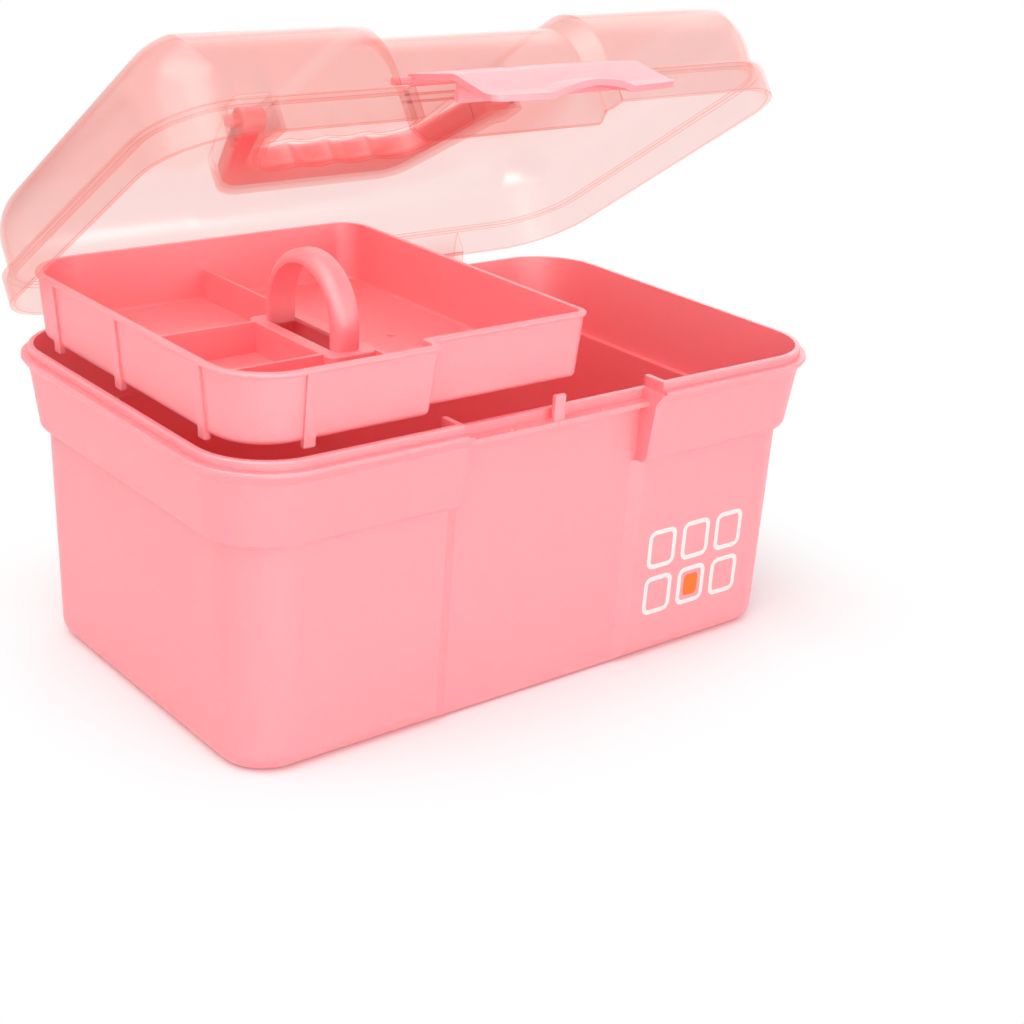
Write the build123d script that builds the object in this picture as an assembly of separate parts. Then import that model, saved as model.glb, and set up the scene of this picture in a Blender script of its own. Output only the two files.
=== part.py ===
from build123d import *
import os

# Storage box with a clear hinged lid, a front latch, a folding carry handle and a lift-out tray.
# Origin: centre of the flat underside. +X right seen from the front, +Y to the back, +Z up.
# All sizes are millimetres. The pieces are drawn closed and then set to the half-open rest pose.

# Overall outline at the bead, the widest line of the base
LENGTH = 300.0
DEPTH = 190.0
CORNER_R = 33.0

# Rest pose: lid half open, latch lifted, handle folded down, tray raised above its seat
LID_REST_DEG = 33.5
LATCH_REST_DEG = 58.0
TRAY_RAISE = 33.9

# Shared clearances
OVERRUN = 4.0
SLIDE_GAP = 0.4
SEAT_GAP = 0.3
PIN_GAP = 0.06

# Base: drafted tub, outset flange, bead, standing lip
BASE_WALL = 2.3
BASE_FLOOR = 2.6
FLANGE_Z = 94.0
FLANGE_H = 32.0
LIP_RISE = 3.5
BODY_FOOT_INSET = 12.5
BODY_TOP_INSET = 10.2
FLANGE_LOW_INSET = 6.7
FLANGE_TOP_INSET = 2.4
LIP_INSET = 2.9
LIP_WALL = 2.2
BEAD_H = 6.0
BEAD_LAND = 1.6
FOOT_R = 8.0
SHOULDER_R = 3.2
BEAD_R = 0.7
LIP_R = 0.9
LEDGE_RISE = 2.0

# Base: recess down the middle of the front, with the catch strip for the latch
RECESS_DEPTH = 2.75
RECESS_HALF = 44.5
RECESS_STEP = 6.0
FLANGE_END_OUT = 2.6
RECESS_LIP_DROP = 4.5
CATCH_DROP = 5.2
CATCH_H = 1.4
CATCH_REACH = 5.2
CATCH_LIP = 0.6
CATCH_LIP_T = 1.1
POST_W = 5.2
POST_T = 1.7
POST_RISE = 10.6
POST_SETBACK = 0.6
NUB_R = 0.8
NUB_X = 23.0

# Lid hinge at the back
HINGE_X = 78.0
HINGE_OUT = 11.0
HINGE_DROP = 6.5
HINGE_PIN_R = 2.0
HINGE_PIN_L = 4.6
LEAF_W = 34.0
LEAF_R = 4.5
LEAF_ROOT = 1.2
LEAF_RISE = 3.4
EAR_T = 4.8
EAR_R = 5.0
EAR_H = 16.0
EAR_ROOT = 1.2

# Lid: skirt over the lip, dome above it, lowered middle band
LID_WALL = 2.0
SKIRT_INSET = 0.5
SKIRT_H = 13.2
SKIRT_R = 1.6
DOME_INSET = 4.0
LID_RISE = 48.6
DOME_R = 24.0
FRONT_R = 29.0
BAND_DROP = 2.6
BAND_STEP = 6.0
BAND_STEP_SHIFT = 1.0
SHOULDER_RUN = 2.6
APRON_CHAMFER = 4.5

# Carry handle and the groove it folds into
PIVOT_Y = -3.0
PIVOT_DROP = 8.2
HANDLE_REACH = 65.0
HANDLE_T = 10.0
HANDLE_FOOT_HALF = 66.7
HANDLE_TOP_HALF = 45.0
HANDLE_CORNER_R = 12.0
HANDLE_EDGE_R = 2.6
ARM_W = 10.2
GRIP_H = 24.0
SCALLOPS = 4
SCALLOP_MARGIN = 2.8
SCALLOP_DEPTH = 3.1
PEAK_R = 3.0
HUB_R = 5.0
STUB_R = 2.6
STUB_L = 5.0
GROOVE_GAP = 1.3
GROOVE_EAR = 3.5
GROOVE_FLOOR_GAP = 0.9
GROOVE_FOOT_R = 2.5

# Latch flap
LATCH_SIDE_GAP = 1.0
LATCH_H = 53.6
LATCH_T = 2.3
LATCH_BOW = 4.0
LATCH_CORNER_R = 5.0
LATCH_RISE = 4.0
LATCH_AXIS_SHARE = 0.6
LATCH_BARREL_R = 2.4
LATCH_PIN_R = 1.5
LATCH_PIN_TAIL = 1.0
LATCH_BULGE = 4.6
LATCH_INSET = 0.3
LATCH_BEND_R = 8.0
LATCH_BEND_SHARES = (0.48, 0.82)
LATCH_EYE_R = 3.0
THUMB_HALF = 19.0
THUMB_OUT = 3.6
HOOK_T = 1.9
HOOK_BARB = 0.3

# Inner tray
TRAY_LEFT_GAP = 8.0
TRAY_LENGTH = 162.0
TRAY_END_GAP = 8.5
TRAY_H = 27.2
TRAY_WALL = 1.9
TRAY_FLOOR = 2.0
TRAY_DRAFT = 2.5
TRAY_CORNER_R = 24.0
TRAY_BACK_CORNER_R = 12.0
TRAY_FRONT_CORNER_R = 5.0
TRAY_NOTCH = 8.5
TRAY_NOTCH_R = 2.2
TRAY_NOTCH_SHIFT = 3.4
TRAY_FOOT_R = 2.4
RIM_OUT = 0.8
RIM_H = 1.9
RIM_R = 0.8
DIVIDER_T = 1.7
DIVIDER_DROP = 12.6
ARCH_SHIFT = -7.2
ARCH_Y = -16.5
ARCH_R = 26.8
ARCH_T = 5.2
ARCH_RISE = 33.4
ARCH_W = 12.0
ARCH_EDGE_R = 4.4
PLINTH_HALF = 11.1
PLINTH_END = 3.6
PLINTH_R = 4.0
PLINTH_EDGE_R = 0.7
RIB_OUT = 1.0
TRAY_FOOT_W = 4.8
TRAY_FOOT_H = 4.5
TRAY_FOOT_DROP = 2.2
TRAY_FOOT_T = 2.3
SIDE_RIB_SHARES = (-0.67, 0.05, 0.64)
END_RIB_SHARES = (0.18, 0.9)
GATE_R = 1.4
GATE_H = 0.5

# Levels and places worked out from the sizes above
HALF_X = LENGTH / 2
HALF_Y = DEPTH / 2
SEAM_Z = FLANGE_Z + FLANGE_H
LIP_Z = SEAM_Z + LIP_RISE
FLANGE_END_HALF = RECESS_HALF + FLANGE_END_OUT
BAND_HALF = RECESS_HALF
LEDGE_Z = FLANGE_Z + LEDGE_RISE
CATCH_Z = SEAM_Z - CATCH_DROP
HINGE_Y = HALF_Y + HINGE_OUT
HINGE_Z = SEAM_Z - HINGE_DROP
LEAF_GAP = SEAT_GAP
SKIRT_Z = SEAM_Z + SEAT_GAP
SKIRT_TOP_Z = SKIRT_Z + SKIRT_H
LID_TOP_Z = SEAM_Z + LID_RISE
LIP_RECESS_HALF = FLANGE_END_HALF + LID_WALL + 2 * SLIDE_GAP
LATCH_AXIS_Z = SKIRT_TOP_Z + LATCH_RISE
LATCH_HALF = BAND_HALF - LATCH_SIDE_GAP
LATCH_PIN_END = BAND_HALF + BAND_STEP + LATCH_PIN_TAIL
BAND_TOP_Z = LID_TOP_Z - BAND_DROP
PIVOT_Z = LID_TOP_Z - PIVOT_DROP
GROOVE_Z = PIVOT_Z - HUB_R - GROOVE_FLOOR_GAP
TRAY_X0 = -HALF_X + TRAY_LEFT_GAP
TRAY_X1 = TRAY_X0 + TRAY_LENGTH
TRAY_HALF_Y = HALF_Y - TRAY_END_GAP
TRAY_MID_X = (TRAY_X0 + TRAY_X1) / 2
TRAY_Z = LEDGE_Z + SEAT_GAP + TRAY_FOOT_DROP
RIM_Z = TRAY_Z + TRAY_H
DIVIDER_Z = RIM_Z - DIVIDER_DROP
ARCH_X = TRAY_MID_X + ARCH_SHIFT
DIVIDER_X = ARCH_X + PLINTH_HALF - DIVIDER_T / 2


def body_inset(z):
    """Inset of the base's drafted lower wall at a height."""
    return BODY_FOOT_INSET - (BODY_FOOT_INSET - BODY_TOP_INSET) * z / FLANGE_Z


def recess_y(z):
    """Front face of the middle recess at a height."""
    return body_inset(z) + RECESS_DEPTH - HALF_Y


def flange_inset(z):
    """Inset of the drafted flange at a height."""
    return FLANGE_TOP_INSET + (FLANGE_LOW_INSET - FLANGE_TOP_INSET) * (SEAM_Z - z) / FLANGE_H


APRON_IN_Y = recess_y(SEAM_Z) - SLIDE_GAP
APRON_OUT_Y = APRON_IN_Y - LID_WALL
BAND_FRONT_Y = APRON_OUT_Y + SHOULDER_RUN
CATCH_Y = recess_y(CATCH_Z) - CATCH_REACH
DOME_FRONT_Y = DOME_INSET - HALF_Y
LATCH_AXIS_Y = BAND_FRONT_Y + LATCH_AXIS_SHARE * (DOME_FRONT_Y - BAND_FRONT_Y)


def block(x0, x1, y0, y1, z0, z1):
    """Box between two corners."""
    middle = Pos((x0 + x1) / 2, (y0 + y1) / 2, (z0 + z1) / 2)
    return middle * Box(x1 - x0, y1 - y0, z1 - z0)


def x_rod(radius, x0, x1, y, z):
    """Round rod along X."""
    return Pos((x0 + x1) / 2, y, z) * Rot(0, 90, 0) * Cylinder(radius, x1 - x0)


def outline(inset, z):
    """The box's plan outline, drawn in from the bead by an inset."""
    return Pos(0, 0, z) * RectangleRounded(LENGTH - 2 * inset, DEPTH - 2 * inset, CORNER_R - inset)


def tub(inset_low, z_low, inset_high, z_high):
    """Drafted solid between two plan outlines."""
    return loft([outline(inset_low, z_low), outline(inset_high, z_high)], ruled=True)


def round_bottom(solid, radius):
    return fillet(solid.edges().group_by(Axis.Z)[0], radius)


def round_top(solid, radius):
    return fillet(solid.edges().group_by(Axis.Z)[-1], radius)


def recess_block(half_wall, half_out, reach, setback, z_low, z_high):
    """Drafted block in front of the recess wall, which it meets at a set-back."""
    faces = []
    for z in (z_low, z_high):
        y = recess_y(z) + setback
        corners = ((-half_wall, y), (-half_out, y - reach), (half_out, y - reach), (half_wall, y))
        faces.append(Pos(0, 0, z) * Polygon(*corners, align=None))
    return loft(faces, ruled=True)


def both_sides(solid):
    """A piece and its mirror image across the middle plane."""
    return solid + mirror(solid, about=Plane.YZ)


def base_hollow():
    low = tub(BODY_FOOT_INSET + BASE_WALL, BASE_FLOOR, BODY_TOP_INSET + BASE_WALL, LEDGE_Z)
    low = round_bottom(low, FOOT_R - BASE_WALL)
    step_reach = 2 * RECESS_DEPTH
    low -= recess_block(
        RECESS_HALF + BASE_WALL / 2,
        RECESS_HALF + BASE_WALL / 2 + 2 * RECESS_STEP,
        step_reach,
        BASE_WALL,
        0,
        LEDGE_Z + OVERRUN,
    )
    high = tub(FLANGE_LOW_INSET + BASE_WALL, LEDGE_Z, LIP_INSET + LIP_WALL, LIP_Z)
    high += tub(LIP_INSET + LIP_WALL, LIP_Z, LIP_INSET + LIP_WALL, LIP_Z + OVERRUN)
    turn_z = SEAM_Z - BASE_WALL
    flange_half = FLANGE_END_HALF + BASE_WALL
    lip_half = LIP_RECESS_HALF + BASE_WALL
    high -= recess_block(flange_half, flange_half, HALF_Y, BASE_WALL, LEDGE_Z - OVERRUN, turn_z)
    high -= recess_block(lip_half, lip_half, HALF_Y, BASE_WALL, turn_z, LIP_Z + 2 * OVERRUN)
    return low + high


def catch_strip():
    """Strip across the recess that the latch hooks under, with its post and two nubs."""
    back_y = recess_y(CATCH_Z) + BASE_WALL / 2
    half = FLANGE_END_HALF
    strip = block(-half, half, CATCH_Y, back_y, CATCH_Z - CATCH_H, CATCH_Z)
    low_z = CATCH_Z - CATCH_H - CATCH_LIP
    strip += block(-half, half, CATCH_Y, CATCH_Y + CATCH_LIP_T, low_z, CATCH_Z)
    post_top = CATCH_Z + POST_RISE
    post_y = CATCH_Y + POST_SETBACK
    post = block(-POST_W / 2, POST_W / 2, post_y, post_y + POST_T, CATCH_Z - CATCH_H / 2, post_top)
    strip += chamfer(post.edges().group_by(Axis.Z)[-1], POST_T / 4)
    for side in (-1, 1):
        strip += Pos(side * NUB_X, post_y + POST_T / 2, CATCH_Z) * Sphere(NUB_R)
    return strip


def hinge_ear():
    """Bracket behind the flange, with the bore for one hinge pin."""
    high_z = SEAM_Z - BEAD_H
    low_z = high_z - EAR_H
    high_y = HALF_Y - flange_inset(high_z)
    low_y = HALF_Y - flange_inset(low_z)
    corners = ((low_y - EAR_ROOT, low_z), (low_y, low_z), (high_y, high_z), (high_y - EAR_ROOT, high_z))
    root = Polygon(*corners, align=None)
    eye = Pos(HINGE_Y, HINGE_Z) * Circle(EAR_R)
    shape = make_hull(root.edges() + eye.edges())
    ear = extrude(Plane.YZ * shape, amount=EAR_T / 2, both=True)
    return ear - x_rod(HINGE_PIN_R + PIN_GAP, -EAR_T, EAR_T, HINGE_Y, HINGE_Z)


def make_base_box():
    body = round_bottom(tub(BODY_FOOT_INSET, 0, BODY_TOP_INSET, FLANGE_Z), FOOT_R)
    step_out = RECESS_HALF + 2 * RECESS_STEP
    body -= recess_block(RECESS_HALF, step_out, 2 * RECESS_DEPTH, 0, -OVERRUN, FLANGE_Z + OVERRUN)
    flange = round_bottom(tub(FLANGE_LOW_INSET, FLANGE_Z, FLANGE_TOP_INSET, SEAM_Z), SHOULDER_R)
    bead_low_z = SEAM_Z - BEAD_H
    bead = tub(flange_inset(bead_low_z), bead_low_z, 0, SEAM_Z - BEAD_LAND)
    bead += round_top(tub(0, SEAM_Z - BEAD_LAND, 0, SEAM_Z), BEAD_R)
    lip = round_top(tub(LIP_INSET, SEAM_Z - BEAD_H, LIP_INSET, LIP_Z), LIP_R)
    upper = flange + bead + lip
    half = FLANGE_END_HALF
    upper -= recess_block(half, half, HALF_Y, 0, FLANGE_Z - OVERRUN, LIP_Z + OVERRUN)
    upper -= recess_block(LIP_RECESS_HALF, LIP_RECESS_HALF, HALF_Y, 0, SEAM_Z, LIP_Z + OVERRUN)
    shell = body + upper - base_hollow()
    half = LIP_RECESS_HALF
    lip_cut_z = LIP_Z - RECESS_LIP_DROP
    shell -= block(-half, half, -HALF_Y, recess_y(SEAM_Z) + 2 * BASE_WALL, lip_cut_z, LIP_Z + OVERRUN)
    shell += catch_strip()
    reach = LEAF_W / 2 + LEAF_GAP + EAR_T / 2
    for side in (-1, 1):
        for end in (-1, 1):
            shell += Pos(side * HINGE_X + end * reach, 0, 0) * hinge_ear()
    return shell


def lid_section(front_y, top_z, back_y, radius):
    """Cross-section of the dome in the YZ plane, rounded at its two top corners."""
    corners = ((front_y, SKIRT_Z), (back_y, SKIRT_Z), (back_y, top_z), (front_y, top_z))
    shape = Polygon(*corners, align=None)
    return fillet(shape.vertices().group_by(Axis.Y)[-1], radius)


def dome(wall, step_shift):
    """Dome drawn in by a wall, with its lowered band from front to back."""
    inset = DOME_INSET + wall
    side_half = BAND_HALF + BAND_STEP + step_shift
    back_y = HALF_Y - inset
    side = lid_section(inset - HALF_Y, LID_TOP_Z - wall, back_y, FRONT_R - wall)
    band = lid_section(BAND_FRONT_Y + wall, BAND_TOP_Z - wall, back_y, FRONT_R - BAND_DROP - wall)
    full = round_top(tub(inset, SKIRT_Z, inset, LID_TOP_Z - wall), DOME_R - wall)
    full &= extrude(Plane.YZ * side, amount=HALF_X, both=True)
    ends = full - block(-side_half, side_half, -DEPTH, DEPTH, 0, 2 * LID_TOP_Z)
    band_half = BAND_HALF + step_shift
    middle = extrude(Plane.YZ * band, amount=band_half, both=True)
    step = loft([Plane.YZ.offset(band_half) * band, Plane.YZ.offset(side_half) * side], ruled=True)
    return ends + middle + both_sides(step)


def groove_outline(grow):
    """Plan of the groove for the folded handle, with room at the hubs for the upright arms."""
    shape = handle_outline()
    width = ARM_W + GROOVE_EAR
    for side in (-1, 1):
        shape += Pos(side * (HANDLE_FOOT_HALF - width / 2), PIVOT_Y) * Rectangle(width, 2 * HUB_R)
    return offset(shape, amount=grow)


def groove_block(grow, z_low, radius):
    """Groove-shaped block up through the lid's top, its lower back edge rounded."""
    solid = extrude(Pos(0, 0, z_low) * groove_outline(grow), amount=LID_TOP_Z + OVERRUN - z_low)
    grip_y = PIVOT_Y + HANDLE_REACH - GRIP_H / 2
    back_edges = [e for e in solid.edges().group_by(Axis.Z)[0] if e.center().Y > grip_y]
    return fillet(back_edges, radius)


def hinge_leaf():
    """Lid's hinge leaf: from the back of the skirt to a barrel with a stub pin at each end."""
    skirt_y = HALF_Y - SKIRT_INSET
    low_z = SKIRT_Z + LEAF_RISE
    high_z = SKIRT_TOP_Z - SKIRT_R
    root_y = skirt_y - LEAF_ROOT
    corners = ((root_y, low_z), (skirt_y, low_z), (skirt_y, high_z), (root_y, high_z))
    root = Polygon(*corners, align=None)
    barrel = Pos(HINGE_Y, HINGE_Z) * Circle(LEAF_R)
    shape = make_hull(root.edges() + barrel.edges())
    leaf = extrude(Plane.YZ * shape, amount=LEAF_W / 2, both=True)
    pin_half = LEAF_W / 2 + HINGE_PIN_L
    return leaf + x_rod(HINGE_PIN_R, -pin_half, pin_half, HINGE_Y, HINGE_Z)


def lid_skirt():
    """Skirt round the lip, with the set-back apron across the front recess."""
    skirt = round_top(tub(SKIRT_INSET, SKIRT_Z, SKIRT_INSET, SKIRT_TOP_Z), SKIRT_R)
    half = FLANGE_END_HALF + SLIDE_GAP
    skirt -= block(-half, half, -DEPTH, APRON_OUT_Y, 0, LID_TOP_Z)
    half = FLANGE_END_HALF - SLIDE_GAP
    apron = block(-half, half, APRON_OUT_Y, APRON_IN_Y, CATCH_Z + SLIDE_GAP, SKIRT_Z + LID_WALL)
    low_corners = apron.edges().filter_by(Axis.Y).group_by(Axis.Z)[0]
    return skirt + chamfer(low_corners, APRON_CHAMFER)


def skirt_hollow():
    inset = SKIRT_INSET + LID_WALL
    hollow = tub(inset, CATCH_Z - OVERRUN, inset, SKIRT_TOP_Z - LID_WALL)
    half = FLANGE_END_HALF + SLIDE_GAP + LID_WALL
    return hollow - block(-half, half, -DEPTH, APRON_IN_Y, 0, LID_TOP_Z)


def make_lid():
    outer = dome(0, 0)
    lid = outer + lid_skirt() - dome(LID_WALL, BAND_STEP_SHIFT) - skirt_hollow()
    lid += groove_block(GROOVE_GAP + LID_WALL, GROOVE_Z - LID_WALL, GROOVE_FOOT_R) & outer
    lid -= groove_block(GROOVE_GAP, GROOVE_Z, GROOVE_FOOT_R - LID_WALL / 2)
    for side in (-1, 1):
        lid += Pos(side * HINGE_X, 0, 0) * hinge_leaf()
    stub_half = HANDLE_FOOT_HALF + STUB_L + OVERRUN
    stub_in = HANDLE_FOOT_HALF - ARM_W / 2
    lid -= both_sides(x_rod(STUB_R + PIN_GAP, stub_in, stub_half, PIVOT_Y, PIVOT_Z))
    pin_half = LATCH_PIN_END + OVERRUN
    lid -= x_rod(LATCH_PIN_R + PIN_GAP, -pin_half, pin_half, LATCH_AXIS_Y, LATCH_AXIS_Z)
    return lid


def handle_outline():
    """Plan of the folded handle: two splayed arms and a grip with finger scallops."""
    top = PIVOT_Y + HANDLE_REACH
    outside = Polygon(
        (-HANDLE_FOOT_HALF, PIVOT_Y),
        (HANDLE_FOOT_HALF, PIVOT_Y),
        (HANDLE_TOP_HALF, top),
        (-HANDLE_TOP_HALF, top),
        align=None,
    )
    outside = fillet(outside.vertices().group_by(Axis.Y)[-1], HANDLE_CORNER_R)
    inner_reach = HANDLE_REACH - GRIP_H
    splay = (HANDLE_FOOT_HALF - HANDLE_TOP_HALF) / HANDLE_REACH
    finger_half = HANDLE_FOOT_HALF - splay * inner_reach - ARM_W - SCALLOP_MARGIN
    pitch = 2 * finger_half / SCALLOPS
    scallop_r = ((pitch / 2) ** 2 + SCALLOP_DEPTH**2) / (2 * SCALLOP_DEPTH)
    scallop_y = PIVOT_Y + inner_reach + SCALLOP_DEPTH - scallop_r
    foot = HANDLE_FOOT_HALF - ARM_W
    low_y = PIVOT_Y - HUB_R
    outer_x = finger_half - pitch / 2
    gap = Polygon((-foot, low_y), (foot, low_y), (outer_x, scallop_y), (-outer_x, scallop_y), align=None)
    for i in range(SCALLOPS):
        gap += Pos(i * pitch - outer_x, scallop_y) * Circle(scallop_r)
    for side in (-1, 1):
        corners = ((0, low_y), (side * foot, low_y), (side * foot, PIVOT_Y), (0, PIVOT_Y))
        leg = Polygon(*corners, align=None)
        bend = Pos(side * outer_x, scallop_y) * Circle(scallop_r)
        gap += make_hull(leg.edges() + bend.edges())
    shape = outside - gap
    peak_y = PIVOT_Y + inner_reach
    peaks = [v for v in shape.vertices() if abs(v.Y - peak_y) < SCALLOP_DEPTH / 2 and abs(v.X) < outer_x]
    return fillet(peaks, PEAK_R)


def make_carry_handle():
    low_z = PIVOT_Z - HANDLE_T / 2
    bar = extrude(Pos(0, 0, low_z) * handle_outline(), amount=HANDLE_T)
    flat_edges = bar.edges().group_by(Axis.Z)[0] + bar.edges().group_by(Axis.Z)[-1]
    bar = fillet(flat_edges.filter_by(lambda e: e.center().Y > PIVOT_Y + HUB_R / 2), HANDLE_EDGE_R)
    foot = HANDLE_FOOT_HALF - ARM_W
    hub = x_rod(HUB_R, foot, HANDLE_FOOT_HALF, PIVOT_Y, PIVOT_Z)
    stub = x_rod(STUB_R, foot, HANDLE_FOOT_HALF + STUB_L, PIVOT_Y, PIVOT_Z)
    return bar + both_sides(hub + stub)


def latch_plate():
    """Bent plate of the latch, hanging closed from its barrel, with a bowed lower edge and a thumb bulge."""
    bend, flat = (share * LATCH_H for share in LATCH_BEND_SHARES)
    y0 = LATCH_AXIS_Y
    z0 = LATCH_AXIS_Z
    line = FilletPolyline(
        (y0 - LATCH_T / 2, z0),
        (y0 - LATCH_BULGE, z0 - bend),
        (y0 - LATCH_INSET, z0 - flat),
        (y0 - LATCH_INSET, z0 - LATCH_H),
        radius=LATCH_BEND_R,
    )
    half = LATCH_HALF
    plate = extrude(Plane.YZ * trace(line, LATCH_T), amount=half, both=True)
    low = z0 - LATCH_H
    front_y = y0 - LATCH_INSET - LATCH_T / 2
    thumb_r = (THUMB_HALF**2 + THUMB_OUT**2) / (2 * THUMB_OUT)
    thumb = Pos(0, front_y - THUMB_OUT + thumb_r, low)
    plate += thumb * Sphere(thumb_r) & block(-half, half, -DEPTH, front_y + LATCH_T / 2, low, z0)
    plate -= thumb * Sphere(thumb_r - LATCH_T)
    high = z0 + LATCH_BARREL_R
    corner = low + LATCH_BOW
    sides = Polyline((-half, corner), (-half, high), (half, high), (half, corner))
    edge = ThreePointArc((half, corner), (0, low), (-half, corner))
    front = make_face(sides.edges() + edge.edges())
    front = fillet(front.vertices().group_by(Axis.Y)[0], LATCH_CORNER_R)
    return plate & extrude(Plane.XZ * front, amount=DEPTH)


def latch_hook():
    """Rib inside the latch, with the barb that holds under the catch strip."""
    top_z = CATCH_Z - CATCH_H - CATCH_LIP - SLIDE_GAP
    tip_y = recess_y(top_z) - SLIDE_GAP
    half = FLANGE_END_HALF - POST_W
    rib = block(-half, half, LATCH_AXIS_Y - LATCH_BULGE, tip_y, top_z - HOOK_T, top_z)
    barb_y = CATCH_Y + CATCH_LIP_T + SLIDE_GAP
    return rib + block(-half, half, barb_y, tip_y, top_z - HOOK_T, top_z + HOOK_BARB)


def make_latch():
    barrel = x_rod(LATCH_BARREL_R, -LATCH_HALF, LATCH_HALF, LATCH_AXIS_Y, LATCH_AXIS_Z)
    latch = latch_plate() + barrel + latch_hook()
    eye_z = LATCH_AXIS_Z - LATCH_EYE_R
    latch -= Pos(0, LATCH_AXIS_Y, eye_z) * Rot(90, 0, 0) * Cylinder(LATCH_EYE_R, DEPTH / 2)
    pin = x_rod(LATCH_PIN_R, LATCH_HALF - OVERRUN, LATCH_PIN_END, LATCH_AXIS_Y, LATCH_AXIS_Z)
    return latch + both_sides(pin)


def tray_inset(z):
    """Inset of the tray's drafted wall at a height."""
    return TRAY_DRAFT * (RIM_Z - z) / TRAY_H


def tray_outline(inset, z):
    """Plan of the tray: its right half is set back at the front, clear of the base's recess."""
    x0 = TRAY_X0 + inset
    x1 = TRAY_X1 - inset
    back = TRAY_HALF_Y - inset
    front = -TRAY_HALF_Y + inset
    notch_x = TRAY_MID_X + TRAY_NOTCH_SHIFT - inset
    notch_y = front + TRAY_NOTCH
    corners = (
        ((x0, front), TRAY_CORNER_R - inset),
        ((notch_x, front), TRAY_NOTCH_R),
        ((notch_x, notch_y), TRAY_NOTCH_R),
        ((x1, notch_y), TRAY_FRONT_CORNER_R - inset),
        ((x1, back), TRAY_BACK_CORNER_R - inset),
        ((x0, back), TRAY_CORNER_R - inset),
    )
    shape = Polygon(*[point for point, radius in corners], align=None)
    for (x, y), radius in corners:
        shape = fillet(shape.vertices().sort_by_distance((x, y))[0], radius)
    return Pos(0, 0, z) * shape


def tray_solid(extra, z_low, z_high):
    """Drafted solid of the tray's outline, drawn in by an extra inset."""
    low = tray_outline(tray_inset(z_low) + extra, z_low)
    return loft([low, tray_outline(tray_inset(z_high) + extra, z_high)], ruled=True)


def tray_ribs():
    """Flat ribs down the tray's outside, each ending in a small foot."""
    skin = tray_solid(-RIB_OUT, TRAY_Z, RIM_Z - RIM_H / 2)
    out = TRAY_DRAFT - RIB_OUT
    deep = TRAY_DRAFT + TRAY_WALL / 2
    half = TRAY_FOOT_W / 2
    low = TRAY_Z - TRAY_FOOT_DROP
    high = low + TRAY_FOOT_H
    ribs = []
    for share in SIDE_RIB_SHARES:
        y = share * TRAY_HALF_Y
        x = TRAY_X0 + out
        ribs.append(skin & block(TRAY_X0 - RIB_OUT, TRAY_X0 + deep, y - half, y + half, TRAY_Z, RIM_Z))
        ribs.append(block(x, x + TRAY_FOOT_T, y - half, y + half, low, high))
    near, far = (TRAY_X0 + share * TRAY_LENGTH for share in END_RIB_SHARES)
    for x, side in ((near, -1), (near, 1), (far, 1)):
        y0, y1 = sorted((side * (TRAY_HALF_Y + RIB_OUT), side * (TRAY_HALF_Y - deep)))
        ribs.append(skin & block(x - half, x + half, y0, y1, TRAY_Z, RIM_Z))
        y0, y1 = sorted((side * (TRAY_HALF_Y - out), side * (TRAY_HALF_Y - out - TRAY_FOOT_T)))
        ribs.append(block(x - half, x + half, y0, y1, low, high))
    return ribs


def tray_arch():
    """Lifting arch on its plinth, flat inside and rounded outside."""
    top_z = DIVIDER_Z + ARCH_RISE
    centre_z = top_z - ARCH_R
    low = DIVIDER_Z - DIVIDER_T / 2

    def arch_face(radius):
        y0 = ARCH_Y - radius
        y1 = ARCH_Y + radius
        legs = Polygon((y0, low), (y1, low), (y1, centre_z), (y0, centre_z), align=None)
        head = Circle(radius) - Pos(0, -radius) * Rectangle(2 * radius, 2 * radius)
        return legs + Pos(ARCH_Y, centre_z) * head

    arch = extrude(Plane.YZ * arch_face(ARCH_R), amount=ARCH_W / 2, both=True)
    ends = arch.faces().filter_by(Axis.X)
    round_edges = [e for face in ends for e in face.edges() if e.center().Z > low + DIVIDER_T]
    arch = fillet(round_edges, ARCH_EDGE_R)
    arch -= extrude(Plane.YZ * arch_face(ARCH_R - ARCH_T), amount=ARCH_W, both=True)
    return Pos(ARCH_X, 0, 0) * arch


def plinth_block(wall, z_low, z_high):
    """Rounded block of the arch's plinth, drawn in by a wall."""
    length = 2 * (ARCH_R + PLINTH_END - wall)
    plan = RectangleRounded(2 * (PLINTH_HALF - wall), length, PLINTH_R - wall)
    return extrude(Pos(ARCH_X, ARCH_Y, z_low) * plan, amount=z_high - z_low)


def tray_dividers():
    """Walls that part the tray: one from front to back beside the plinth, two from the plinth to the left."""
    low = TRAY_Z + TRAY_FLOOR / 2
    half = DIVIDER_T / 2
    walls = [block(DIVIDER_X - half, DIVIDER_X + half, -TRAY_HALF_Y, TRAY_HALF_Y, low, DIVIDER_Z)]
    reach = ARCH_R - ARCH_T / 2
    for y in (ARCH_Y - reach, ARCH_Y + reach):
        walls.append(block(TRAY_X0, ARCH_X - PLINTH_HALF + DIVIDER_T, y - half, y + half, low, DIVIDER_Z))
    return walls


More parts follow.
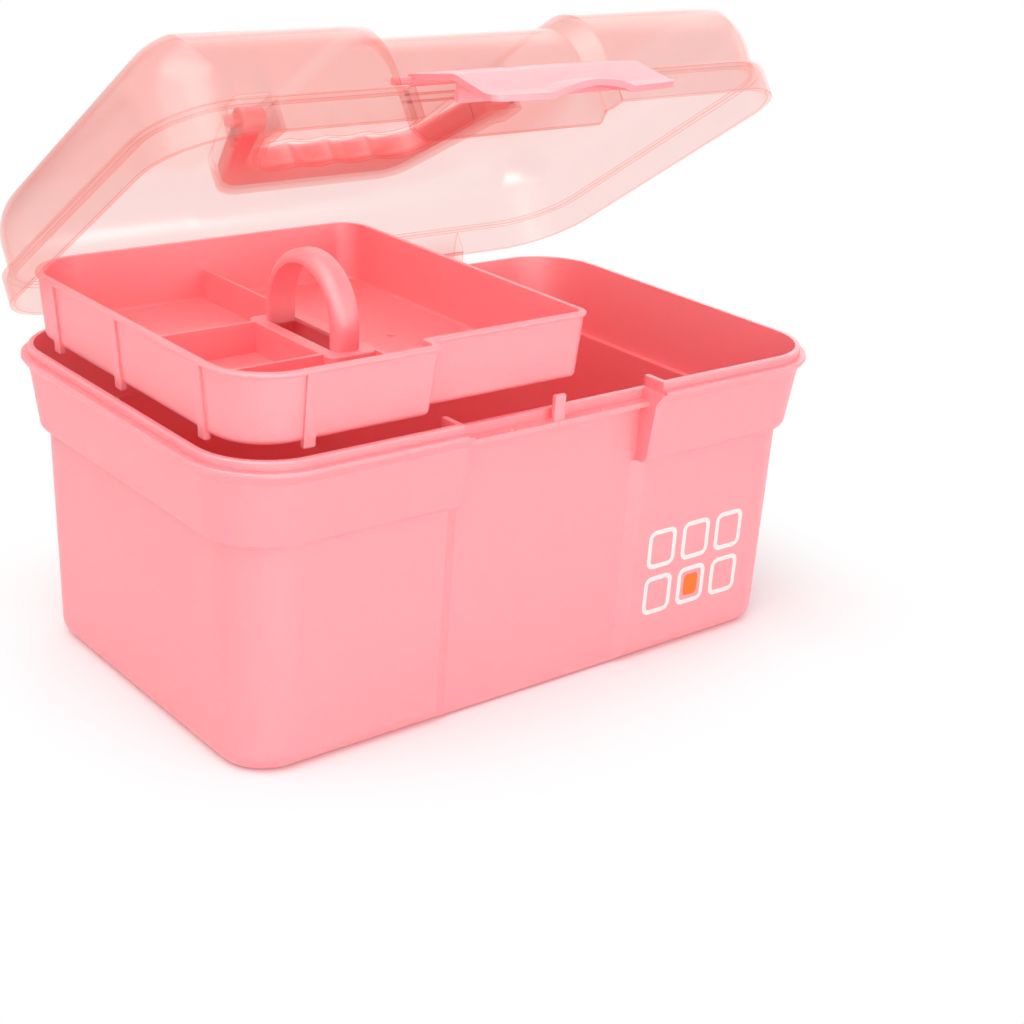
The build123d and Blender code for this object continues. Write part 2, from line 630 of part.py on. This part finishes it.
def make_inner_tray():
    tray = round_bottom(tray_solid(0, TRAY_Z, RIM_Z), TRAY_FOOT_R)
    rim = extrude(tray_outline(-RIM_OUT, RIM_Z - RIM_H), amount=RIM_H)
    rim = fillet(rim.edges().group_by(Axis.Z)[0] + rim.edges().group_by(Axis.Z)[-1], RIM_R)
    tray += rim
    envelope = tray
    for rib in tray_ribs():
        tray += rib
    hollow = tray_solid(TRAY_WALL, TRAY_Z + TRAY_FLOOR, RIM_Z + OVERRUN)
    tray -= round_bottom(hollow, TRAY_FOOT_R - TRAY_WALL / 2)
    for wall in tray_dividers():
        tray += wall & envelope
    plinth = plinth_block(0, TRAY_Z, DIVIDER_Z)
    tray += round_top(plinth, PLINTH_EDGE_R) + tray_arch()
    tray -= plinth_block(DIVIDER_T, TRAY_Z - OVERRUN, DIVIDER_Z - DIVIDER_T)
    slot = ARCH_R - ARCH_T
    x0 = ARCH_X - ARCH_W / 2
    tray -= block(x0, x0 + ARCH_W, ARCH_Y - slot, ARCH_Y + slot, TRAY_Z, DIVIDER_Z + DIVIDER_T)
    gate_x = (DIVIDER_X + TRAY_X1) / 2
    tray += Pos(gate_x, 0, TRAY_Z + TRAY_FLOOR) * Cylinder(GATE_R, 2 * GATE_H)
    return tray


# Set the closed pieces to the rest pose
lid_axis = Axis((0, HINGE_Y, HINGE_Z), (-1, 0, 0))
latch_axis = Axis((0, LATCH_AXIS_Y, LATCH_AXIS_Z), (-1, 0, 0))
pieces = {
    "base_box": make_base_box(),
    "lid": make_lid().rotate(lid_axis, LID_REST_DEG),
    "latch": make_latch().rotate(latch_axis, LATCH_REST_DEG).rotate(lid_axis, LID_REST_DEG),
    "carry_handle": make_carry_handle().rotate(lid_axis, LID_REST_DEG),
    "inner_tray": Pos(0, 0, TRAY_RAISE) * make_inner_tray(),
}

os.makedirs("parts", exist_ok=True)
for name, piece in pieces.items():
    export_step(piece, f"parts/{name}.step")
    print(name, "solids", len(piece.solids()), "volume", round(piece.volume), "mm3")
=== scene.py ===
"""Looks of the storage box: pink plastic, clear pink lid, a printed sign, studio and camera."""

import math

import bpy
from mathutils import Matrix, Vector


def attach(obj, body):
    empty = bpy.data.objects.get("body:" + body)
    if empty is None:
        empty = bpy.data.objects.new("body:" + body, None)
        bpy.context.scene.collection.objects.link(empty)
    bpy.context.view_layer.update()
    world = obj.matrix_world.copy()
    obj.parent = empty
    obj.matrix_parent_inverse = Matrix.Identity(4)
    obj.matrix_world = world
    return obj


MM = 0.001

# Linear colours, with alpha
PINK = (0.99, 0.235, 0.265, 1.0)
CLEAR_SKIN = (0.985, 0.91, 0.90, 1.0)
CLEAR_BODY = (0.97, 0.58, 0.54, 1.0)
# Painted shade: tint of the darker lines along the lid's edges
CLEAR_EDGE_SHADE = (0.99, 0.36, 0.26, 1.0)
CLEAR_GLOSS = (1.0, 0.95, 0.93, 1.0)
CLEAR_VEIL = (0.98, 0.70, 0.67, 1.0)
PRINT_WHITE = (0.72, 0.67, 0.66, 1.0)
PRINT_ORANGE = (0.86, 0.14, 0.0, 1.0)
FLOOR_COLOUR = (0.93, 0.93, 0.93, 1.0)
WHITE = (1.0, 1.0, 1.0, 1.0)

# Finish of the pink plastic
PLASTIC_IOR = 1.49
PINK_ROUGH = (0.38, 0.46)
PINK_GRAIN = 900.0
PINK_BUMP = 0.015
PINK_BUMP_DEPTH = 0.05 * MM
PINK_GLOW = 1.0
GLOW_RADIUS = (4.0 * MM, 0.8 * MM, 0.7 * MM)
GLOW_SCALE = 1.0
PINK_SHEEN = 0.11
SHEEN_ROUGH = 0.5

# Finish of the clear lid. Each pair of shares goes from face on to a grazing view.
CLEAR_DENSITY = 60.0
CLEAR_ROUGH = 0.24
VEIL_SHARES = (0.04, 0.10)
GLOSS_SHARES = (0.05, 0.45)
VEIL_POWER = 2.5
GLOSS_POWER = 4.0

# Painted shade: darker orange lines along the lid's edges, standing in for the light that the rounded
# edges bend away. The turns are cosines, from where it starts to where it is full.
EDGE_WIDTH = 0.9 * MM
EDGE_SAMPLES = 8
EDGE_TURN = (0.97, 0.8)
EDGE_SHADE_SHARE = 0.9

# Printed sign on the front, right of the recess: a tray from above, with one cell picked out
INK_ROUGH = 0.5
SIGN_CENTRE_X = 85.0 * MM
SIGN_CENTRE_Z = 40.0 * MM
SIGN_COLUMNS = 3
SIGN_ROWS = 2
CELL_W = 16.0 * MM
CELL_H = 18.0 * MM
CELL_GAP = 3.6 * MM
CELL_LINE = 2.2 * MM
CELL_R = 4.0 * MM
DOT_INSET = 4.0 * MM
DOT_R = 2.0 * MM
DOT_CELL = (1, 0)
PRINT_LIFT = 0.06 * MM
CORNER_STEPS = 8
PROBE_Y = -1.0

# Camera, fitted to the large view: angles in degrees, lengths in metres
CAM_AZIMUTH = -39.73
CAM_ELEVATION = 22.29
CAM_ROLL = 3.32
CAM_DISTANCE = 0.83728
CAM_TARGET = Vector((0.05141, 0.0, 0.04053))
CAM_FOCAL_PX = 1844.65
IMAGE_PX = 1024
SENSOR_MM = 36.0

# Studio, in metres. A lamp has a name, a place, a size and a power in watts.
# The floor fades to plain white from the footprint's half sizes outwards.
PLAIN_STRENGTH = 1.0
FLOOR_SIZE = 30.0
FLOOR_ROUGH = 1.0
FLOOR_SHINE = 0.0
FOOTPRINT = (0.14, 0.085, 0.0)
FADE_END = 0.10
AMBIENT = 0.40
LAMPS = (
    ("key", (-1.2, -0.6, 1.3), (2.0, 2.0), 16.0),
    ("fill", (-0.1, -1.8, 0.35), (2.2, 0.7), 18.0),
    ("top", (-0.5, -0.1, 1.8), (2.0, 2.0), 16.0),
    ("back", (1.3, 0.8, 0.8), (2.0, 1.4), 9.0),
)
LAMP_AIM = Vector((0.0, 0.0, 0.12))


def new_material(name):
    """A fresh node material and its shader."""
    material = bpy.data.materials.new(name)
    material.use_nodes = True
    return material, material.node_tree.nodes["Principled BSDF"]


def pink_plastic():
    """Satin moulded plastic: deep pink that light comes through, under a pale sheen."""
    material, shader = new_material("pink_plastic")
    nodes = material.node_tree.nodes
    links = material.node_tree.links
    shader.inputs["Base Color"].default_value = PINK
    shader.inputs["IOR"].default_value = PLASTIC_IOR
    shader.inputs["Subsurface Weight"].default_value = PINK_GLOW
    shader.inputs["Subsurface Radius"].default_value = GLOW_RADIUS
    shader.inputs["Subsurface Scale"].default_value = GLOW_SCALE
    place = nodes.new("ShaderNodeTexCoord")
    grain = nodes.new("ShaderNodeTexNoise")
    grain.inputs["Scale"].default_value = PINK_GRAIN
    links.new(place.outputs["Object"], grain.inputs["Vector"])
    rough = nodes.new("ShaderNodeMapRange")
    rough.inputs["To Min"].default_value = PINK_ROUGH[0]
    rough.inputs["To Max"].default_value = PINK_ROUGH[1]
    links.new(grain.outputs["Fac"], rough.inputs["Value"])
    links.new(rough.outputs["Result"], shader.inputs["Roughness"])
    bump = nodes.new("ShaderNodeBump")
    bump.inputs["Strength"].default_value = PINK_BUMP
    bump.inputs["Distance"].default_value = PINK_BUMP_DEPTH
    links.new(grain.outputs["Fac"], bump.inputs["Height"])
    links.new(bump.outputs["Normal"], shader.inputs["Normal"])
    sheen = nodes.new("ShaderNodeBsdfAnisotropic")
    sheen.inputs["Color"].default_value = WHITE
    sheen.inputs["Roughness"].default_value = SHEEN_ROUGH
    mix = nodes.new("ShaderNodeMixShader")
    mix.inputs["Fac"].default_value = PINK_SHEEN
    links.new(shader.outputs["BSDF"], mix.inputs[1])
    links.new(sheen.outputs["BSDF"], mix.inputs[2])
    links.new(mix.outputs["Shader"], nodes["Material Output"].inputs["Surface"])
    return material


def edge_share(nodes, links, power, shares):
    """A share that grows from the first value face on to the second at the edges."""
    facing = nodes.new("ShaderNodeLayerWeight")
    curve = nodes.new("ShaderNodeMath")
    curve.operation = "POWER"
    curve.inputs[1].default_value = power
    links.new(facing.outputs["Facing"], curve.inputs[0])
    share = nodes.new("ShaderNodeMapRange")
    share.inputs["To Min"].default_value = shares[0]
    share.inputs["To Max"].default_value = shares[1]
    links.new(curve.outputs["Value"], share.inputs["Value"])
    return share.outputs["Result"]


def mix_shaders(nodes, links, share, first, second):
    """Two shaders mixed by a share of the second."""
    mix = nodes.new("ShaderNodeMixShader")
    links.new(share, mix.inputs["Fac"])
    links.new(first, mix.inputs[1])
    links.new(second, mix.inputs[2])
    return mix.outputs["Shader"]


def painted_edge_shade(nodes, links):
    """Share of painted edge shade: nothing on plain faces, growing along the moulding's edges."""
    bevel = nodes.new("ShaderNodeBevel")
    bevel.samples = EDGE_SAMPLES
    bevel.inputs["Radius"].default_value = EDGE_WIDTH
    shape = nodes.new("ShaderNodeNewGeometry")
    turn = nodes.new("ShaderNodeVectorMath")
    turn.operation = "DOT_PRODUCT"
    links.new(bevel.outputs["Normal"], turn.inputs[0])
    links.new(shape.outputs["Normal"], turn.inputs[1])
    share = nodes.new("ShaderNodeMapRange")
    share.inputs["From Min"].default_value = EDGE_TURN[0]
    share.inputs["From Max"].default_value = EDGE_TURN[1]
    share.inputs["To Max"].default_value = EDGE_SHADE_SHARE
    links.new(turn.outputs["Value"], share.inputs["Value"])
    return share.outputs["Result"]


def clear_plastic():
    """Clear pale pink plastic of the lid: glossy, slightly milky, with painted shade as darker lines
    along its edges.
    """
    material, principled = new_material("clear_pink_plastic")
    nodes = material.node_tree.nodes
    links = material.node_tree.links
    nodes.remove(principled)
    skin = nodes.new("ShaderNodeBsdfTransparent")
    skin.inputs["Color"].default_value = CLEAR_SKIN
    # Painted shade: a deeper orange tint mixed in along the edges, standing in for the light that the
    # rounded edges bend away
    edge = nodes.new("ShaderNodeBsdfTransparent")
    edge.inputs["Color"].default_value = CLEAR_EDGE_SHADE
    edges = painted_edge_shade(nodes, links)
    edge_shaded = mix_shaders(nodes, links, edges, skin.outputs["BSDF"], edge.outputs["BSDF"])
    veil = nodes.new("ShaderNodeBsdfTranslucent")
    veil.inputs["Color"].default_value = CLEAR_VEIL
    gloss = nodes.new("ShaderNodeBsdfAnisotropic")
    gloss.inputs["Color"].default_value = CLEAR_GLOSS
    gloss.inputs["Roughness"].default_value = CLEAR_ROUGH
    veil_share = edge_share(nodes, links, VEIL_POWER, VEIL_SHARES)
    milky = mix_shaders(nodes, links, veil_share, edge_shaded, veil.outputs["BSDF"])
    gloss_share = edge_share(nodes, links, GLOSS_POWER, GLOSS_SHARES)
    surface = mix_shaders(nodes, links, gloss_share, milky, gloss.outputs["BSDF"])
    body = nodes.new("ShaderNodeVolumeAbsorption")
    body.inputs["Color"].default_value = CLEAR_BODY
    body.inputs["Density"].default_value = CLEAR_DENSITY
    links.new(surface, nodes["Material Output"].inputs["Surface"])
    links.new(body.outputs["Volume"], nodes["Material Output"].inputs["Volume"])
    return material


def print_ink(name, colour):
    """Flat printing ink."""
    material, shader = new_material(name)
    shader.inputs["Base Color"].default_value = colour
    shader.inputs["Roughness"].default_value = INK_ROUGH
    return material


def dress(node_names, material):
    """Gives CAD nodes a material."""
    for name in node_names:
        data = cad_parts[name].data
        data.materials.clear()
        data.materials.append(material)


def rounded_loop(half_w, half_h, radius):
    """Corner points of a rounded rectangle, anticlockwise."""
    points = []
    for quarter, (sx, sy) in enumerate(((1, 1), (-1, 1), (-1, -1), (1, -1))):
        for step in range(CORNER_STEPS + 1):
            angle = (quarter + step / CORNER_STEPS) * math.pi / 2
            x = sx * (half_w - radius) + radius * math.cos(angle)
            y = sy * (half_h - radius) + radius * math.sin(angle)
            points.append(Vector((x, y, 0.0)))
    return points


def sign_plane():
    """Place on the base's front face for the sign: X to the right, Y up the drafted wall, Z outwards."""
    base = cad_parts["base_box"]
    start = Vector((SIGN_CENTRE_X, PROBE_Y, SIGN_CENTRE_Z))
    hit, place, normal, _ = base.ray_cast(start, Vector((0.0, 1.0, 0.0)))
    if not hit:
        raise RuntimeError("no front face where the sign goes")
    right = Vector((1.0, 0.0, 0.0))
    up = normal.cross(right)
    turn = Matrix((right, up, normal)).transposed().to_4x4()
    return Matrix.Translation(place + normal * PRINT_LIFT) @ turn


def sign_mesh(name, points, faces, colour, slot):
    """One printed piece, laid on the front face."""
    mesh = bpy.data.meshes.new(name)
    plane = sign_plane()
    mesh.from_pydata([plane @ p for p in points], [], faces)
    mesh.materials.append(print_ink(slot, colour))
    piece = bpy.data.objects.new(name, mesh)
    bpy.context.scene.collection.objects.link(piece)
    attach(piece, "base")


def cell_centre(column, row):
    """Middle of one cell of the sign, in the sign's plane."""
    x = (column - (SIGN_COLUMNS - 1) / 2) * (CELL_W + CELL_GAP)
    y = (row - (SIGN_ROWS - 1) / 2) * (CELL_H + CELL_GAP)
    return Vector((x, y, 0.0))


def printed_sign():
    """Outlined cells in white, one of them with an orange filling."""
    points = []
    faces = []
    for row in range(SIGN_ROWS):
        for column in range(SIGN_COLUMNS):
            centre = cell_centre(column, row)
            outer = rounded_loop(CELL_W / 2, CELL_H / 2, CELL_R)
            inner = rounded_loop(CELL_W / 2 - CELL_LINE, CELL_H / 2 - CELL_LINE, CELL_R - CELL_LINE)
            first = len(points)
            count = len(outer)
            points += [centre + p for p in outer + inner]
            for i in range(count):
                j = (i + 1) % count
                faces.append((first + i, first + j, first + count + j, first + count + i))
    sign_mesh("sign_cells", points, faces, PRINT_WHITE, "print_white")
    dot = rounded_loop(CELL_W / 2 - DOT_INSET, CELL_H / 2 - DOT_INSET, DOT_R)
    dot = [cell_centre(*DOT_CELL) + p for p in dot]
    sign_mesh("sign_dot", dot, [tuple(range(len(dot)))], PRINT_ORANGE, "print_orange")


def studio_world():
    """Even white surroundings: plain white to the eye, softer as a light."""
    world = bpy.data.worlds.new("studio")
    bpy.context.scene.world = world
    world.use_nodes = True
    nodes = world.node_tree.nodes
    links = world.node_tree.links
    seen = nodes["Background"]
    seen.inputs["Color"].default_value = WHITE
    seen.inputs["Strength"].default_value = PLAIN_STRENGTH
    ambient = nodes.new("ShaderNodeBackground")
    ambient.inputs["Color"].default_value = WHITE
    ambient.inputs["Strength"].default_value = AMBIENT
    path = nodes.new("ShaderNodeLightPath")
    mix = nodes.new("ShaderNodeMixShader")
    previous = path.outputs["Is Camera Ray"]
    for kind in ("Is Glossy Ray", "Is Transmission Ray"):
        either = nodes.new("ShaderNodeMath")
        either.operation = "MAXIMUM"
        links.new(previous, either.inputs[0])
        links.new(path.outputs[kind], either.inputs[1])
        previous = either.outputs["Value"]
    links.new(previous, mix.inputs["Fac"])
    links.new(ambient.outputs["Background"], mix.inputs[1])
    links.new(seen.outputs["Background"], mix.inputs[2])
    links.new(mix.outputs["Shader"], nodes["World Output"].inputs["Surface"])


def studio_floor():
    """Plain pale floor that takes the box's shadow and fades to plain white away from it."""
    bpy.ops.mesh.primitive_plane_add(size=FLOOR_SIZE)
    floor = bpy.context.object
    floor.name = "floor"
    material, shader = new_material("floor")
    nodes = material.node_tree.nodes
    links = material.node_tree.links
    shader.inputs["Base Color"].default_value = FLOOR_COLOUR
    shader.inputs["Roughness"].default_value = FLOOR_ROUGH
    shader.inputs["Specular IOR Level"].default_value = FLOOR_SHINE
    place = nodes.new("ShaderNodeTexCoord")
    away = place.outputs["Object"]
    steps = (
        ("ABSOLUTE", None),
        ("SUBTRACT", FOOTPRINT),
        ("MAXIMUM", (0.0, 0.0, 0.0)),
        ("LENGTH", None),
    )
    for step, limit in steps:
        part = nodes.new("ShaderNodeVectorMath")
        part.operation = step
        links.new(away, part.inputs[0])
        if limit:
            part.inputs[1].default_value = limit
        away = part.outputs["Value" if step == "LENGTH" else "Vector"]
    fade = nodes.new("ShaderNodeMapRange")
    fade.interpolation_type = "SMOOTHSTEP"
    fade.inputs["From Max"].default_value = FADE_END
    links.new(away, fade.inputs["Value"])
    path = nodes.new("ShaderNodeLightPath")
    seen = nodes.new("ShaderNodeMath")
    seen.operation = "MULTIPLY"
    links.new(fade.outputs["Result"], seen.inputs[0])
    links.new(path.outputs["Is Camera Ray"], seen.inputs[1])
    plain = nodes.new("ShaderNodeEmission")
    plain.inputs["Color"].default_value = WHITE
    plain.inputs["Strength"].default_value = PLAIN_STRENGTH
    share = seen.outputs["Value"]
    surface = mix_shaders(nodes, links, share, shader.outputs["BSDF"], plain.outputs["Emission"])
    links.new(surface, nodes["Material Output"].inputs["Surface"])
    floor.data.materials.append(material)


def studio_lamps():
    """Large soft lamps, all turned to the box."""
    for name, place, size, power in LAMPS:
        data = bpy.data.lights.new(name, "AREA")
        data.shape = "RECTANGLE"
        data.size, data.size_y = size
        data.energy = power
        lamp = bpy.data.objects.new(name, data)
        lamp.location = place
        lamp.rotation_euler = (LAMP_AIM - lamp.location).to_track_quat("-Z", "Y").to_euler()
        bpy.context.scene.collection.objects.link(lamp)


def photo_camera():
    """Camera at the viewing angle of the photograph's large view."""
    azimuth = math.radians(CAM_AZIMUTH)
    elevation = math.radians(CAM_ELEVATION)
    back = Vector((
        math.sin(azimuth) * math.cos(elevation),
        -math.cos(azimuth) * math.cos(elevation),
        math.sin(elevation),
    ))
    right = Vector((0.0, 0.0, 1.0)).cross(back).normalized()
    up = back.cross(right)
    roll = Matrix.Rotation(math.radians(CAM_ROLL), 4, "Z")
    turn = Matrix((right, up, back)).transposed().to_4x4() @ roll
    data = bpy.data.cameras.new("camera")
    data.sensor_width = SENSOR_MM
    data.lens = CAM_FOCAL_PX / IMAGE_PX * SENSOR_MM
    camera = bpy.data.objects.new("camera", data)
    camera.matrix_world = Matrix.Translation(CAM_TARGET + back * CAM_DISTANCE) @ turn
    bpy.context.scene.collection.objects.link(camera)
    bpy.context.scene.camera = camera


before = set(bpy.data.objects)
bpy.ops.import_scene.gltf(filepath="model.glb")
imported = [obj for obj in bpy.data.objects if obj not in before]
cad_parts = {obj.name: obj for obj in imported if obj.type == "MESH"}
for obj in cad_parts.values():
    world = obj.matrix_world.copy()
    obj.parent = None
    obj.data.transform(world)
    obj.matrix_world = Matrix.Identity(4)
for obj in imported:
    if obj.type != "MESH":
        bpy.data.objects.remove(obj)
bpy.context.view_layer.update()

dress(("base_box", "latch", "carry_handle", "inner_tray"), pink_plastic())
dress(("lid",), clear_plastic())
printed_sign()
studio_world()
studio_floor()
studio_lamps()
photo_camera()
bpy.context.scene.view_settings.view_transform = "Standard"
